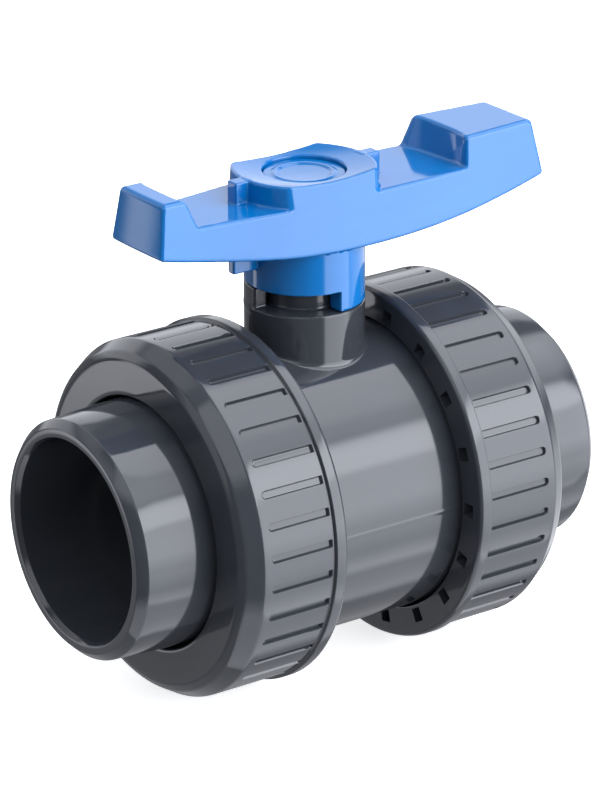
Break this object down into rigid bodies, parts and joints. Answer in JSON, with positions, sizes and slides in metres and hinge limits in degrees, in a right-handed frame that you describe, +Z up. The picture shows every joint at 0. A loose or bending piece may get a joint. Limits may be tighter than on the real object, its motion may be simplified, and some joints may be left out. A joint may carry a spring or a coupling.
{
  "type": "double union ball valve",
  "caption": "Plastic quarter-turn ball valve with a T handle, threaded union nuts and plain solvent-cement sockets at both ends.",
  "frame": {"origin": "where the pipe axis and the stem axis cross, at the centre of the ball", "axes": "+X along the pipe towards the outlet, +Z up the stem to the handle"},
  "size_m": [0.1726, 0.1146, 0.1625],
  "materials": {
    "grey_pvc": "moulded, satin gloss",
    "blue_handle": "moulded, gloss",
    "seat_white": "machined, waxy",
    "black_rubber": "matt"
  },
  "bodies": {
    "valve": {"valve_body": "grey_pvc", "ball_seat_inlet": "seat_white", "ball_seat_outlet": "seat_white", "seat_oring_inlet": "black_rubber", "seat_oring_outlet": "black_rubber", "seat_carrier": "grey_pvc", "carrier_oring": "black_rubber"},
    "ball": {"ball": "grey_pvc"},
    "stem": {"stem": "grey_pvc", "stem_washer": "seat_white", "stem_oring_lower": "black_rubber", "stem_oring_upper": "black_rubber"},
    "handle": {"handle": "blue_handle", "handle_cap": "blue_handle"},
    "inlet_end": {"end_connector_inlet": "grey_pvc", "face_oring_inlet": "black_rubber"},
    "outlet_end": {"end_connector_outlet": "grey_pvc", "face_oring_outlet": "black_rubber"},
    "inlet_nut": {"union_nut_inlet": "grey_pvc"},
    "outlet_nut": {"union_nut_outlet": "grey_pvc"}
  },
  "joints": [
    {"name": "stem_turn", "type": "hinge", "parent": "valve", "child": "stem", "pos_m": [0, 0, 0.05], "axis": [0, 0, 1], "range_deg": [-90, 0]},
    {"name": "ball_turn", "type": "hinge", "parent": "valve", "child": "ball", "pos_m": [0, 0, 0], "axis": [0, 0, 1], "range_deg": [-90, 0]},
    {"name": "handle_lift", "type": "slide", "parent": "stem", "child": "handle", "axis": [0, 0, 1], "range_m": [0, 0.024]},
    {"name": "inlet_end_slide", "type": "slide", "parent": "valve", "child": "inlet_end", "axis": [-1, 0, 0], "range_m": [0, 0.018]},
    {"name": "inlet_nut_turn", "type": "hinge", "parent": "inlet_end", "child": "inlet_nut", "pos_m": [-0.045, 0, 0], "axis": [-1, 0, 0], "range_deg": [0, 1080]},
    {"name": "outlet_end_slide", "type": "slide", "parent": "valve", "child": "outlet_end", "axis": [1, 0, 0], "range_m": [0, 0.018]},
    {"name": "outlet_nut_turn", "type": "hinge", "parent": "outlet_end", "child": "outlet_nut", "pos_m": [0.045, 0, 0], "axis": [1, 0, 0], "range_deg": [0, 1080]}
  ],
  "couplings": [
    {"joint": "ball_turn", "follows": "stem_turn", "ratio": 1},
    {"joint": "inlet_end_slide", "follows": "inlet_nut_turn", "m_per_rad": 0.0009549},
    {"joint": "outlet_end_slide", "follows": "outlet_nut_turn", "m_per_rad": 0.0009549}
  ]
}
